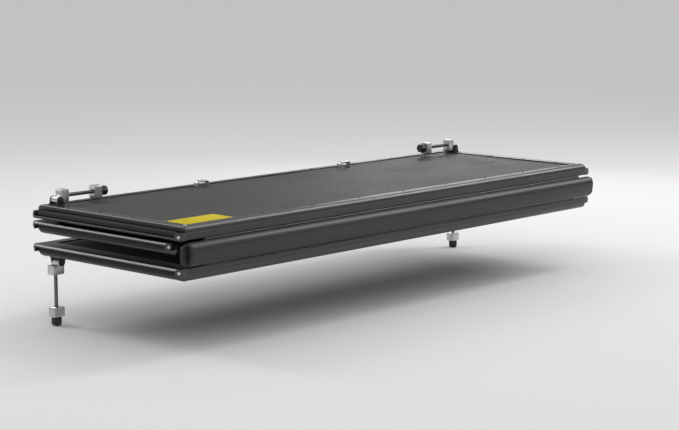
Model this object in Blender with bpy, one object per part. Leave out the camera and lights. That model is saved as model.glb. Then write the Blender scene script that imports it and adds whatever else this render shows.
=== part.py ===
# Hard folding tonneau cover for a pickup bed, modelled in its folded state.
# Three framed panels are stacked at the cab end of the bed: the front panel lies on the bed
# rails, the middle panel lies on top with its underside up, and the rear panel is folded in
# between them. A D shaped spine hinges the front panel to the middle panel.
# Units are metres. +X is the passenger side, +Y points to the cab, +Z is up. The origin is the
# middle of the front panel's seat, on the plane of the bed rails.

import math

import bmesh
import bpy
from mathutils import Matrix, Vector

# Panels
COVER_WIDTH = 1.650
PANEL_DEPTH = 0.545
TAIL_GAP = 0.021
PANEL_THICKNESS = 0.032

# Frame rails
RAIL_WALL = 0.0025
FLANGE_WIDTH = 0.030
EDGE_RADIUS = 0.014
LIP_REACH = 0.024
LIP_THICKNESS = 0.007
LIP_ROUND = 0.003
LIP_CORNER = 0.014

# Seals and the rubber rest
SEAL_HEIGHT = 0.013
SEAL_WIDTH = 0.016
SEAL_END_INSET = 0.006
END_STOP_LENGTH = 0.014
END_STOP_CLEAR = 0.002
EDGE_SEAL_DEPTH = 0.012
EDGE_SEAL_HEIGHT = 0.014
EDGE_SEAL_INSET = 0.020
REST_WIDTH = 0.020
REST_LENGTH = 1.200
REST_INSET = 0.022

# Spine between the front and middle panels
SPINE_SPAN = 0.058
SPINE_DEPTH = 0.022
SPINE_SHOULDER = 0.003
SPINE_CROWN = 0.038
SPINE_WALL = 0.0025
SPINE_CAP_THICKNESS = 0.006

# Long hinges
HINGE_OFFSET = 0.004
HINGE_END_INSET = 0.060
LEAF_WIDTH = 0.024
LEAF_THICKNESS = 0.0016
BARREL_RADIUS = 0.0034
PIN_RADIUS = 0.0016
PIN_OVERHANG = 0.004
KNUCKLE_COUNT = 11

# Rail clamps
CLAMP_SIDE_GAP = 0.0055
CLAMP_NOSE_GAP = 0.002
PIVOT_HEIGHT = 0.014
BASE_LENGTH = 0.024
BASE_WIDTH = 0.040
BASE_THICKNESS = 0.003
EAR_THICKNESS = 0.004
EAR_RADIUS = 0.009
PIVOT_PIN_RADIUS = 0.003
LUG_RADIUS = 0.0095
JAW_WIDTH = 0.025
JAW_LENGTH = 0.024
JAW_REACH = 0.025
FIXED_JAW_START = 0.006
JAW_OPENING = 0.084
ROD_HEIGHT = 0.009
ROD_RADIUS = 0.005
ROD_SEAT = 0.011
KNOB_RADIUS = 0.013
KNOB_LENGTH = 0.020
KNOB_FLUTE = 0.0016
KNOB_FLUTES = 6

# Small parts
PATCH_LENGTH = 0.160
PATCH_DEPTH = 0.080
PATCH_THICKNESS = 0.0004
PATCH_INSET = 0.003
LOOP_SPREAD = 0.570
LOOP_LENGTH = 0.044
LOOP_HEIGHT = 0.017
LOOP_WIDTH = 0.016
LOOP_BAR = 0.005
LOOP_NOSE_GAP = 0.010

# Clearances
GAP = 0.0003
RUN_GAP = 0.0005
KNUCKLE_GAP = 0.0006
PIN_GAP = 0.0003

# Roundness
ARC_STEPS = 4
SPINE_STEPS = 6
BARREL_SIDES = 10
ROD_SIDES = 14
FLUTE_STEPS = 6

# Places worked out from the sizes above
body_half = COVER_WIDTH / 2 - LIP_REACH
lip_edge = COVER_WIDTH / 2
fold_y = -PANEL_DEPTH / 2
nose_y = PANEL_DEPTH / 2
front_skin_z = SEAL_HEIGHT + LIP_THICKNESS
front_axis_z = front_skin_z + HINGE_OFFSET
middle_axis_z = front_axis_z + SPINE_SPAN
middle_skin_z = middle_axis_z + HINGE_OFFSET
rear_skin_z = middle_axis_z - HINGE_OFFSET
rear_tail_y = fold_y + TAIL_GAP + EDGE_SEAL_DEPTH
board_inset = RAIL_WALL + GAP
end_stop_low = PANEL_THICKNESS - LIP_THICKNESS - SEAL_HEIGHT + END_STOP_CLEAR

SIDES = ((-1, "left"), (1, "right"))
PANELS = {
    "front_panel": {"rear": fold_y, "nose": nose_y, "skin": front_skin_z, "up": 1},
    "middle_panel": {"rear": fold_y, "nose": nose_y, "skin": middle_skin_z, "up": -1},
    "rear_panel": {"rear": rear_tail_y, "nose": nose_y, "skin": rear_skin_z, "up": 1},
}


def clear_scene():
    for item in list(bpy.data.objects):
        bpy.data.objects.remove(item)


def make_collection(name):
    group = bpy.data.collections.new(name)
    bpy.context.scene.collection.children.link(group)
    return group


def make_material(name, colour, roughness, metallic):
    finish = bpy.data.materials.new(name)
    finish.use_nodes = True
    shader = finish.node_tree.nodes["Principled BSDF"]
    shader.inputs["Base Color"].default_value = (*colour, 1.0)
    shader.inputs["Roughness"].default_value = roughness
    shader.inputs["Metallic"].default_value = metallic
    return finish


clear_scene()
cover = make_collection("tonneau_cover")
cutters = make_collection("cutters")

FINISHES = {
    "board": make_material("board_skin", (0.055, 0.056, 0.060), 0.55, 0.0),
    "rail": make_material("black_rail", (0.045, 0.046, 0.049), 0.38, 0.3),
    "spine": make_material("spine_finish", (0.040, 0.041, 0.044), 0.42, 0.2),
    "cap": make_material("black_plastic", (0.020, 0.020, 0.022), 0.50, 0.0),
    "rubber": make_material("seal_rubber", (0.012, 0.012, 0.013), 0.80, 0.0),
    "hinge": make_material("hinge_metal", (0.060, 0.061, 0.064), 0.40, 0.8),
    "bright": make_material("bright_aluminium", (0.620, 0.620, 0.630), 0.35, 1.0),
    "steel": make_material("dark_steel", (0.140, 0.140, 0.145), 0.40, 0.9),
    "yellow": make_material("yellow_patch", (0.600, 0.480, 0.020), 0.45, 0.0),
}


def make_pivot(name, place, parent=None):
    pivot = bpy.data.objects.new(name, None)
    pivot.empty_display_size = 0.02
    cover.objects.link(pivot)
    if parent is not None:
        pivot.parent = parent
        pivot.matrix_parent_inverse = parent.matrix_world.inverted()
    pivot.matrix_basis = place
    bpy.context.view_layer.update()
    return pivot


def make_part(name, shape, pivot, finish, world=True):
    # A shape drawn in world places is stored relative to its pivot; a clamp piece already is.
    if world:
        bmesh.ops.translate(shape, verts=shape.verts, vec=-pivot.matrix_world.translation)
    bmesh.ops.recalc_face_normals(shape, faces=shape.faces)
    mesh = bpy.data.meshes.new(name)
    shape.to_mesh(mesh)
    shape.free()
    mesh.materials.append(FINISHES[finish])
    part = bpy.data.objects.new(name, mesh)
    cover.objects.link(part)
    part.parent = pivot
    return part


def box(low, high):
    shape = bmesh.new()
    bmesh.ops.create_cube(shape, size=1.0)
    low, high = Vector(low), Vector(high)
    size = high - low
    bmesh.ops.scale(shape, verts=shape.verts, vec=size)
    bmesh.ops.translate(shape, verts=shape.verts, vec=(low + high) / 2)
    return shape


def rod(start, end, radius, sides):
    start, end = Vector(start), Vector(end)
    span = end - start
    turn = Vector((0, 0, 1)).rotation_difference(span).to_matrix().to_4x4()
    shape = bmesh.new()
    bmesh.ops.create_cone(shape, cap_ends=True, segments=sides, radius1=radius, radius2=radius,
                          depth=span.length, matrix=Matrix.Translation((start + end) / 2) @ turn)
    return shape


def extrude(outline, travel):
    # A closed outline of points, carried along the vector travel.
    shape = bmesh.new()
    face = shape.faces.new([shape.verts.new(point) for point in outline])
    moved = bmesh.ops.extrude_face_region(shape, geom=[face])["geom"]
    verts = [item for item in moved if isinstance(item, bmesh.types.BMVert)]
    bmesh.ops.translate(shape, verts=verts, vec=travel)
    bmesh.ops.recalc_face_normals(shape, faces=shape.faces)
    return shape


def gather(shapes):
    # Separate solids in one mesh.
    whole = bmesh.new()
    for shape in shapes:
        mesh = bpy.data.meshes.new("solid")
        shape.to_mesh(mesh)
        shape.free()
        whole.from_mesh(mesh)
        bpy.data.meshes.remove(mesh)
    return whole


def temporary(shape):
    mesh = bpy.data.meshes.new("temporary")
    bmesh.ops.recalc_face_normals(shape, faces=shape.faces)
    shape.to_mesh(mesh)
    shape.free()
    item = bpy.data.objects.new("temporary", mesh)
    item.hide_render = True
    item.display_type = "WIRE"
    cutters.objects.link(item)
    return item


def combine(shape, others, operation):
    # Boolean of one shape with each of the others in turn.
    target = temporary(shape)
    tools = [temporary(other) for other in others]
    for tool in tools:
        step = target.modifiers.new("step", "BOOLEAN")
        step.operation = operation
        step.solver = "EXACT"
        step.object = tool
    graph = bpy.context.evaluated_depsgraph_get()
    mesh = bpy.data.meshes.new_from_object(target.evaluated_get(graph))
    result = bmesh.new()
    result.from_mesh(mesh)
    for item in [target] + tools:
        bpy.data.objects.remove(item)
    bpy.data.meshes.remove(mesh)
    return result


def arc(centre, radius, start, end, steps):
    # Points of an arc in a plane, angles in degrees, both ends included.
    angles = [math.radians(start + (end - start) * i / steps) for i in range(steps + 1)]
    return [(centre[0] + radius * math.cos(a), centre[1] + radius * math.sin(a)) for a in angles]


# Outlines of the frame rails: (inward, height) with height 0 at the underside

def side_rail_outline():
    top = PANEL_THICKNESS
    edge = arc((-LIP_REACH + LIP_ROUND, top - LIP_ROUND), LIP_ROUND, 90, 180, 2)
    return ([(0, 0), (FLANGE_WIDTH, 0), (FLANGE_WIDTH, RAIL_WALL), (RAIL_WALL, RAIL_WALL),
             (RAIL_WALL, top - RAIL_WALL), (FLANGE_WIDTH, top - RAIL_WALL), (FLANGE_WIDTH, top)]
            + edge + [(-LIP_REACH, end_stop_low), (0, end_stop_low)])


def cross_rail_outline():
    inner = EDGE_RADIUS - RAIL_WALL
    centre = (EDGE_RADIUS, EDGE_RADIUS)
    outside = arc(centre, EDGE_RADIUS, 180, 270, ARC_STEPS)
    inside = arc(centre, inner, 270, 180, ARC_STEPS)
    top = PANEL_THICKNESS
    return ([(0, top)] + outside + [(FLANGE_WIDTH, 0), (FLANGE_WIDTH, RAIL_WALL)] + inside
            + [(RAIL_WALL, top - RAIL_WALL), (FLANGE_WIDTH, top - RAIL_WALL), (FLANGE_WIDTH, top)])


def height_z(panel, height):
    return panel["skin"] - panel["up"] * (PANEL_THICKNESS - height)


def z_span(panel, low, high):
    return sorted((height_z(panel, low), height_z(panel, high)))


# The four rails of a panel's frame, its board and its seals

def cross_rail(panel, edge, inward):
    reach = body_half - RAIL_WALL - GAP
    points = [(-reach, edge + inward * d, height_z(panel, h)) for d, h in cross_rail_outline()]
    return extrude(points, (2 * reach, 0, 0))


def corner_waste(radius):
    # What rounding takes off a square corner at (0, 0), as (along, across) points.
    return ([(-radius, -radius), (radius, -radius)]
            + arc((radius, radius), radius, 270, 180, ARC_STEPS) + [(-radius, radius)])


def side_rail(panel, side):
    # A channel as long as the panel is deep, with a lip that lies on the bed rail. Its flanges stop
    # at the cross rails, its web is rounded below like them, and the lip's corners are rounded.
    # The lip is thicker at both ends, where it stops the seal that lies under it.
    start = panel["rear"]
    depth = panel["nose"] - start
    points = [(side * (body_half - d), start, height_z(panel, h)) for d, h in side_rail_outline()]
    bar = extrude(points, (0, depth, 0))
    under_lip = z_span(panel, end_stop_low - LIP_THICKNESS, PANEL_THICKNESS - LIP_THICKNESS)
    xs = sorted((side * body_half, side * (lip_edge + LIP_REACH)))
    cuts = [box((xs[0], panel["rear"] + END_STOP_LENGTH, under_lip[0]),
                (xs[1], panel["nose"] - END_STOP_LENGTH, under_lip[1]))]
    for edge, inward in ((panel["rear"], 1), (panel["nose"], -1)):
        xs = sorted((side * (body_half - RAIL_WALL), side * (body_half - 2 * FLANGE_WIDTH)))
        ys = sorted((edge - inward * FLANGE_WIDTH, edge + inward * (FLANGE_WIDTH + GAP)))
        zs = z_span(panel, -PANEL_THICKNESS, 2 * PANEL_THICKNESS)
        cuts.append(box((xs[0], ys[0], zs[0]), (xs[1], ys[1], zs[1])))
        lower = [(side * (body_half - FLANGE_WIDTH), edge + inward * u, height_z(panel, h))
                 for u, h in corner_waste(EDGE_RADIUS)]
        cuts.append(extrude(lower, (side * 2 * FLANGE_WIDTH, 0, 0)))
        lip = [(side * (lip_edge - u), edge + inward * v, zs[0]) for u, v in corner_waste(LIP_CORNER)]
        cuts.append(extrude(lip, (0, 0, zs[1] - zs[0])))
    return combine(bar, cuts, "DIFFERENCE")


def board(panel):
    low, high = z_span(panel, board_inset, PANEL_THICKNESS - board_inset)
    half = body_half - board_inset
    inset = EDGE_RADIUS + GAP
    return box((-half, panel["rear"] + inset, low), (half, panel["nose"] - inset, high))


def side_seal(panel, side):
    low, high = z_span(panel, PANEL_THICKNESS - LIP_THICKNESS - SEAL_HEIGHT,
                       PANEL_THICKNESS - LIP_THICKNESS - GAP)
    inner = body_half + (LIP_REACH - SEAL_WIDTH) / 2
    ends = END_STOP_LENGTH + SEAL_END_INSET
    xs = sorted((side * inner, side * (inner + SEAL_WIDTH)))
    return box((xs[0], panel["rear"] + ends, low), (xs[1], panel["nose"] - ends, high))


def edge_seal(panel, edge, outward):
    # A bulb strip on the outer face of a cross rail.
    middle = (EDGE_RADIUS + PANEL_THICKNESS) / 2
    half = EDGE_SEAL_HEIGHT / 2
    bulb = [(EDGE_SEAL_DEPTH * math.sin(a), half * math.cos(a))
            for a in [math.pi * i / (2 * ARC_STEPS) for i in range(2 * ARC_STEPS + 1)]]
    length = 2 * (body_half - EDGE_SEAL_INSET)
    points = [(-length / 2, edge + outward * (GAP + d), height_z(panel, middle + h)) for d, h in bulb]
    return extrude(points, (length, 0, 0))


def make_panel(name, pivot):
    panel = PANELS[name]
    make_part(name + "_board", board(panel), pivot, "board")
    make_part(name + "_rail_rear", cross_rail(panel, panel["rear"], 1), pivot, "rail")
    make_part(name + "_rail_nose", cross_rail(panel, panel["nose"], -1), pivot, "rail")
    for side, word in SIDES:
        make_part(name + "_rail_" + word, side_rail(panel, side), pivot, "rail")
        make_part(name + "_seal_" + word, side_seal(panel, side), pivot, "rubber")


# The spine

def spine_outline(inset):
    # D shape: flat on the inside of the fold, rounded to the rear, fullest at its crown.
    # Inset shrinks it by a wall.
    flat = fold_y - HINGE_OFFSET - inset
    low = front_axis_z + RUN_GAP + inset
    high = middle_axis_z - RUN_GAP - inset
    shoulder = fold_y - HINGE_OFFSET - SPINE_SHOULDER
    bulge = SPINE_DEPTH - SPINE_SHOULDER - inset
    crown = front_axis_z + SPINE_CROWN
    turn = [math.pi / 2 * i / SPINE_STEPS for i in range(SPINE_STEPS + 1)]
    lower = [(shoulder - bulge * math.sin(a), crown - (crown - low) * math.cos(a)) for a in turn]
    upper = [(shoulder - bulge * math.cos(a), crown + (high - crown) * math.sin(a)) for a in turn[1:]]
    return [(flat, low)] + lower + upper + [(flat, high)]


def spine_bar():
    shell = extrude([(-body_half, y, z) for y, z in spine_outline(0)], (2 * body_half, 0, 0))
    reach = body_half + SPINE_CAP_THICKNESS
    core = extrude([(-reach, y, z) for y, z in spine_outline(SPINE_WALL)], (2 * reach, 0, 0))
    return combine(shell, [core], "DIFFERENCE")


def spine_cap(side):
    # The outline as a plate, and a lip with rounded corners that carries on the panels' lips.
    seat = body_half + GAP
    plate = extrude([(side * seat, y, z) for y, z in spine_outline(0)], (side * SPINE_CAP_THICKNESS, 0, 0))
    low = front_axis_z + RUN_GAP + LIP_ROUND
    high = middle_axis_z - RUN_GAP - LIP_ROUND
    centre = lip_edge - LIP_CORNER
    outline = ([(seat, low)] + arc((centre, low + LIP_CORNER), LIP_CORNER, 270, 360, ARC_STEPS)
               + arc((centre, high - LIP_CORNER), LIP_CORNER, 0, 90, ARC_STEPS) + [(seat, high)])
    flat = fold_y - HINGE_OFFSET
    lip = extrude([(side * x, flat - LIP_THICKNESS, z) for x, z in outline], (0, LIP_THICKNESS, 0))
    return combine(plate, [lip], "UNION")


# Long hinges: a leaf is drawn with p along its plate and q from the axis to the skin it lies on

def hinge_leaf(axis, along, to_skin, first):
    centre = Vector((0, *axis))
    p, q = Vector((0, *along)), Vector((0, *to_skin))
    length = 2 * (body_half - HINGE_END_INSET)
    pitch = length / KNUCKLE_COUNT
    clear = BARREL_RADIUS + RUN_GAP
    low, high = HINGE_OFFSET - GAP - LEAF_THICKNESS, HINGE_OFFSET - GAP

    def slab(start, end, p_start, p_end):
        corners = [(p_start, low), (p_end, low), (p_end, high), (p_start, high)]
        return extrude([centre + Vector((start, 0, 0)) + p * a + q * b for a, b in corners],
                       (end - start, 0, 0))

    tabs, barrels = [], []
    for i in range(first, KNUCKLE_COUNT, 2):
        start = -length / 2 + i * pitch + KNUCKLE_GAP / 2
        end = start + pitch - KNUCKLE_GAP
        tabs.append(slab(start, end, 0, clear + LEAF_THICKNESS))
        barrels.append(rod(centre + Vector((start, 0, 0)), centre + Vector((end, 0, 0)),
                           BARREL_RADIUS, BARREL_SIDES))
    plate = slab(-length / 2, length / 2, clear, LEAF_WIDTH)
    whole = combine(plate, [gather(tabs), gather(barrels)], "UNION")
    bore = rod(centre - Vector((length, 0, 0)), centre + Vector((length, 0, 0)),
               PIN_RADIUS + PIN_GAP, BARREL_SIDES)
    return combine(whole, [bore], "DIFFERENCE")


def hinge_pin(axis):
    reach = body_half - HINGE_END_INSET + PIN_OVERHANG
    return rod((-reach, *axis), (reach, *axis), PIN_RADIUS, BARREL_SIDES)


# Rail clamps, drawn about the swing pivot: x along the rod when stowed, z away from the panel

def clamp_base():
    low = GAP - PIVOT_HEIGHT
    top = low + BASE_THICKNESS
    plate = box((-BASE_LENGTH / 2, -BASE_WIDTH / 2, low), (BASE_LENGTH / 2, BASE_WIDTH / 2, top))
    inner = JAW_WIDTH / 2 + RUN_GAP
    crown = arc((0, 0), EAR_RADIUS, 0, 180, 2 * ARC_STEPS)
    ear = [(EAR_RADIUS, top - BASE_THICKNESS / 2)] + crown + [(-EAR_RADIUS, top - BASE_THICKNESS / 2)]
    ears = [extrude([(x, side * inner, z) for x, z in ear], (0, side * EAR_THICKNESS, 0))
            for side in (-1, 1)]
    reach = inner + EAR_THICKNESS / 2
    pin = rod((0, -reach, 0), (0, reach, 0), PIVOT_PIN_RADIUS, ROD_SIDES)
    return combine(plate, ears + [pin], "UNION")


def clamp_arm():
    half = JAW_WIDTH / 2
    lug = rod((0, -half, 0), (0, half, 0), LUG_RADIUS, ROD_SIDES)
    jaw = box((FIXED_JAW_START, -half, -LUG_RADIUS),
              (FIXED_JAW_START + JAW_LENGTH, half, JAW_REACH))
    whole = combine(jaw, [lug], "UNION")
    pivot = rod((0, -JAW_WIDTH, 0), (0, JAW_WIDTH, 0), PIVOT_PIN_RADIUS + PIN_GAP, ROD_SIDES)
    seat = rod((FIXED_JAW_START + JAW_LENGTH - ROD_SEAT, 0, ROD_HEIGHT),
               (FIXED_JAW_START + 2 * JAW_LENGTH, 0, ROD_HEIGHT), ROD_RADIUS + PIN_GAP, ROD_SIDES)
    return combine(whole, [pivot, seat], "DIFFERENCE")


def rod_span():
    start = FIXED_JAW_START + JAW_LENGTH - ROD_SEAT + GAP
    end = FIXED_JAW_START + 2 * JAW_LENGTH + JAW_OPENING + RUN_GAP
    return start, end


def clamp_rod():
    start, end = rod_span()
    return rod((start, 0, ROD_HEIGHT), (end, 0, ROD_HEIGHT), ROD_RADIUS, ROD_SIDES)


def clamp_jaw():
    half = JAW_WIDTH / 2
    start = FIXED_JAW_START + JAW_LENGTH + JAW_OPENING
    block = box((start, -half, -LUG_RADIUS), (start + JAW_LENGTH, half, JAW_REACH))
    hole = rod((start - JAW_LENGTH, 0, ROD_HEIGHT), (start + 2 * JAW_LENGTH, 0, ROD_HEIGHT),
               ROD_RADIUS + PIN_GAP, ROD_SIDES)
    return combine(block, [hole], "DIFFERENCE")


def clamp_knob():
    start = rod_span()[1] + GAP
    count = KNOB_FLUTES * FLUTE_STEPS
    points = []
    for i in range(count):
        angle = 2 * math.pi * i / count
        radius = KNOB_RADIUS - KNOB_FLUTE * (1 - math.cos(KNOB_FLUTES * angle)) / 2
        points.append((start, radius * math.cos(angle), ROD_HEIGHT + radius * math.sin(angle)))
    return extrude(points, (KNOB_LENGTH, 0, 0))


def make_clamp(name, panel_name, side, deployed, panel_pivot):
    # Side is -1 on the driver's side. The base sits on the side rail's flange, next to the nose rail.
    # A deployed clamp stands square to the panel's underside.
    panel = PANELS[panel_name]
    from_side = CLAMP_SIDE_GAP + BASE_LENGTH / 2
    from_nose = FLANGE_WIDTH + CLAMP_NOSE_GAP + BASE_WIDTH / 2
    place = Vector((side * (body_half - from_side), panel["nose"] - from_nose,
                    height_z(panel, 0) - panel["up"] * PIVOT_HEIGHT))
    inward_x = Vector((-side, 0, 0))
    away_z = Vector((0, 0, -panel["up"]))
    turn = Matrix((inward_x, away_z.cross(inward_x), away_z)).transposed().to_4x4()
    seat = Matrix.Translation(place) @ turn
    swing = Matrix.Rotation(math.radians(-90 if deployed else 0), 4, "Y")
    base = make_pivot(name + "_seat", seat, panel_pivot)
    arm = make_pivot(name + "_swing", seat @ swing, panel_pivot)
    make_part(name + "_base", clamp_base(), base, "cap", world=False)
    make_part(name + "_arm", clamp_arm(), arm, "bright", world=False)
    make_part(name + "_jaw", clamp_jaw(), arm, "bright", world=False)
    make_part(name + "_rod", clamp_rod(), arm, "steel", world=False)
    make_part(name + "_knob", clamp_knob(), arm, "cap", world=False)


# Pieces on the middle panel's underside, which faces up in the folded stack

def yellow_patch(panel):
    bottom = height_z(panel, board_inset) + GAP
    x = -body_half + FLANGE_WIDTH + PATCH_INSET
    y = panel["rear"] + FLANGE_WIDTH + PATCH_INSET
    return box((x, y, bottom), (x + PATCH_LENGTH, y + PATCH_DEPTH, bottom + PATCH_THICKNESS))


def strap_loop(panel, side):
    # A bent bar that stands on two feet.
    bottom = height_z(panel, board_inset) + GAP
    half = LOOP_LENGTH / 2
    outer_round = LOOP_HEIGHT / 2
    inner_round = outer_round - LOOP_BAR
    top = LOOP_HEIGHT - outer_round
    right = arc((half - outer_round, top), outer_round, 0, 90, ARC_STEPS)
    left = arc((outer_round - half, top), outer_round, 90, 180, ARC_STEPS)
    inner_left = arc((outer_round - half, top), inner_round, 180, 90, ARC_STEPS)
    inner_right = arc((half - outer_round, top), inner_round, 90, 0, ARC_STEPS)
    outline = ([(half, 0)] + right + left + [(-half, 0), (LOOP_BAR - half, 0)] + inner_left
               + inner_right + [(half - LOOP_BAR, 0)])
    x = side * LOOP_SPREAD / 2
    y = panel["nose"] - FLANGE_WIDTH - LOOP_NOSE_GAP
    return extrude([(x + u, y, bottom + v) for u, v in outline], (0, -LOOP_WIDTH, 0))


def tail_rest():
    # A rubber strip under the rear panel's tail, lying on the front panel's board.
    top = height_z(PANELS["rear_panel"], 0) - GAP
    bottom = front_skin_z - board_inset + GAP
    y = fold_y + FLANGE_WIDTH + REST_INSET
    return box((-REST_LENGTH / 2, y, bottom), (REST_LENGTH / 2, y + REST_WIDTH, top))


# Assembly

front_axis = (fold_y, front_axis_z)
middle_axis = (fold_y, middle_axis_z)
rear_axis = (nose_y, middle_axis_z)

front_pivot = make_pivot("front_panel_origin", Matrix())
spine_pivot = make_pivot("spine_axis", Matrix.Translation((0, *front_axis)), front_pivot)
middle_pivot = make_pivot("middle_panel_axis", Matrix.Translation((0, *middle_axis)), spine_pivot)
rear_pivot = make_pivot("rear_panel_axis", Matrix.Translation((0, *rear_axis)), middle_pivot)

make_panel("front_panel", front_pivot)
make_part("bulkhead_seal", edge_seal(PANELS["front_panel"], nose_y, 1), front_pivot, "rubber")
make_part("front_hinge_panel_leaf", hinge_leaf(front_axis, (1, 0), (0, -1), 0), front_pivot, "hinge")
make_part("front_hinge_pin", hinge_pin(front_axis), front_pivot, "steel")

make_part("spine_bar", spine_bar(), spine_pivot, "spine")
make_part("front_hinge_spine_leaf", hinge_leaf(front_axis, (0, 1), (-1, 0), 1), spine_pivot, "hinge")
make_part("middle_hinge_spine_leaf", hinge_leaf(middle_axis, (0, -1), (-1, 0), 1), spine_pivot, "hinge")
make_part("middle_hinge_pin", hinge_pin(middle_axis), spine_pivot, "steel")

make_panel("middle_panel", middle_pivot)
make_part("middle_hinge_panel_leaf", hinge_leaf(middle_axis, (1, 0), (0, 1), 0), middle_pivot, "hinge")
make_part("rear_hinge_middle_leaf", hinge_leaf(rear_axis, (-1, 0), (0, 1), 0), middle_pivot, "hinge")
make_part("rear_hinge_pin", hinge_pin(rear_axis), middle_pivot, "steel")
make_part("yellow_patch", yellow_patch(PANELS["middle_panel"]), middle_pivot, "yellow")

make_panel("rear_panel", rear_pivot)
make_part("tailgate_seal", edge_seal(PANELS["rear_panel"], rear_tail_y, -1), rear_pivot, "rubber")
make_part("rear_hinge_rear_leaf", hinge_leaf(rear_axis, (-1, 0), (0, -1), 1), rear_pivot, "hinge")
make_part("tail_rest", tail_rest(), rear_pivot, "rubber")

for side, word in SIDES:
    make_part("spine_cap_" + word, spine_cap(side), spine_pivot, "cap")
    make_part("strap_loop_" + word, strap_loop(PANELS["middle_panel"], side), middle_pivot, "bright")
    make_clamp("front_clamp_" + word, "front_panel", side, True, front_pivot)
    make_clamp("middle_clamp_" + word, "middle_panel", side, False, middle_pivot)
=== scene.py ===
import math

import bmesh
import bpy
import numpy as np
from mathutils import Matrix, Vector


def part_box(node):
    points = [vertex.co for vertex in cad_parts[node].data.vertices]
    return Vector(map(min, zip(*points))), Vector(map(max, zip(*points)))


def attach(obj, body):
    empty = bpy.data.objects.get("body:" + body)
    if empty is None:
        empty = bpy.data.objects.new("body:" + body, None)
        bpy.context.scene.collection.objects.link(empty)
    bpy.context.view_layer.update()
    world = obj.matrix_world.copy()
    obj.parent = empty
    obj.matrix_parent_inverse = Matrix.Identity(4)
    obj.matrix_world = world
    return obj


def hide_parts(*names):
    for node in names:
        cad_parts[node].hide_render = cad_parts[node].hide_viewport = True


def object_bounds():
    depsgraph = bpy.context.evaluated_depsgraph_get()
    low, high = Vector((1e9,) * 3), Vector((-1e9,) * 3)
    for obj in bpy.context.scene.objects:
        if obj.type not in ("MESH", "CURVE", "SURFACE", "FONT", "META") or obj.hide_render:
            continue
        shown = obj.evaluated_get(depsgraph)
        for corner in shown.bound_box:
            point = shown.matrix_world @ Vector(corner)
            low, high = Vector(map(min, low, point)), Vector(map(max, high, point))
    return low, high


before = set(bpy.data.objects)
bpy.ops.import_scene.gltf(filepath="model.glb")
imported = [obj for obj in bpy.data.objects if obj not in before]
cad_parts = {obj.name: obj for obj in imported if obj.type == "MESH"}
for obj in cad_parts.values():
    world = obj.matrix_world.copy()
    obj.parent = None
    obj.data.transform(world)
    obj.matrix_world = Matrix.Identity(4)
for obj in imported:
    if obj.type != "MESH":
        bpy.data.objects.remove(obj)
cadLow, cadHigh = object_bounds()
print("frame loaded:", len(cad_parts), "nodes")


# Shader maths: wraps a node socket so that plain operators make Math nodes

class Wire:
    def __init__(self, tree, socket=None):
        self.tree = tree
        self.socket = socket

    def add(self, kind, settings=None, values=None, out=0):
        # Any node: its type, its settings, its sockets' values or links, and the output to go on from.
        node = self.tree.nodes.new(kind)
        for key, value in (settings or {}).items():
            setattr(node, key, value)
        for key, value in (values or {}).items():
            if isinstance(value, Wire):
                self.tree.links.new(value.socket, node.inputs[key])
            else:
                node.inputs[key].default_value = value
        return Wire(self.tree, node.outputs[out])

    def math(self, operation, *values):
        # One Math node on the values, in order.
        return self.add("ShaderNodeMath", {"operation": operation}, dict(enumerate(values)))

    def __add__(self, other):
        return self.math("ADD", self, other)

    def __radd__(self, other):
        return self.math("ADD", other, self)

    def __sub__(self, other):
        return self.math("SUBTRACT", self, other)

    def __rsub__(self, other):
        return self.math("SUBTRACT", other, self)

    def __mul__(self, other):
        return self.math("MULTIPLY", self, other)

    def __rmul__(self, other):
        return self.math("MULTIPLY", other, self)

    def band(self, low, high):
        # 0 below low, 1 above high, smooth between.
        return self.add("ShaderNodeMapRange", {"interpolation_type": "SMOOTHSTEP"},
                        {"Value": self, "From Min": low, "From Max": high, "To Min": 0.0, "To Max": 1.0})


def blendColour(wire, factor, first, second):
    # first (1 - factor) + second factor; 6, 7 and 2 are the Mix node's colour sockets.
    return wire.add("ShaderNodeMix", {"data_type": "RGBA"}, {0: factor, 6: first, 7: second}, out=2)


def grey(level):
    # The same level in red, green and blue.
    return (level, level, level, 1.0)


# Every finish is a base colour mottled between two tones, lighter where edges are worn, with its own
# grain in the bump and a roughness that wanders. Stretch draws the grain out along an extrusion.

plainFinish = {"metal": 0.0, "stretch": (1, 1, 1), "specular": 0.5, "ior": 1.5}  # where a finish gives none

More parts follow.
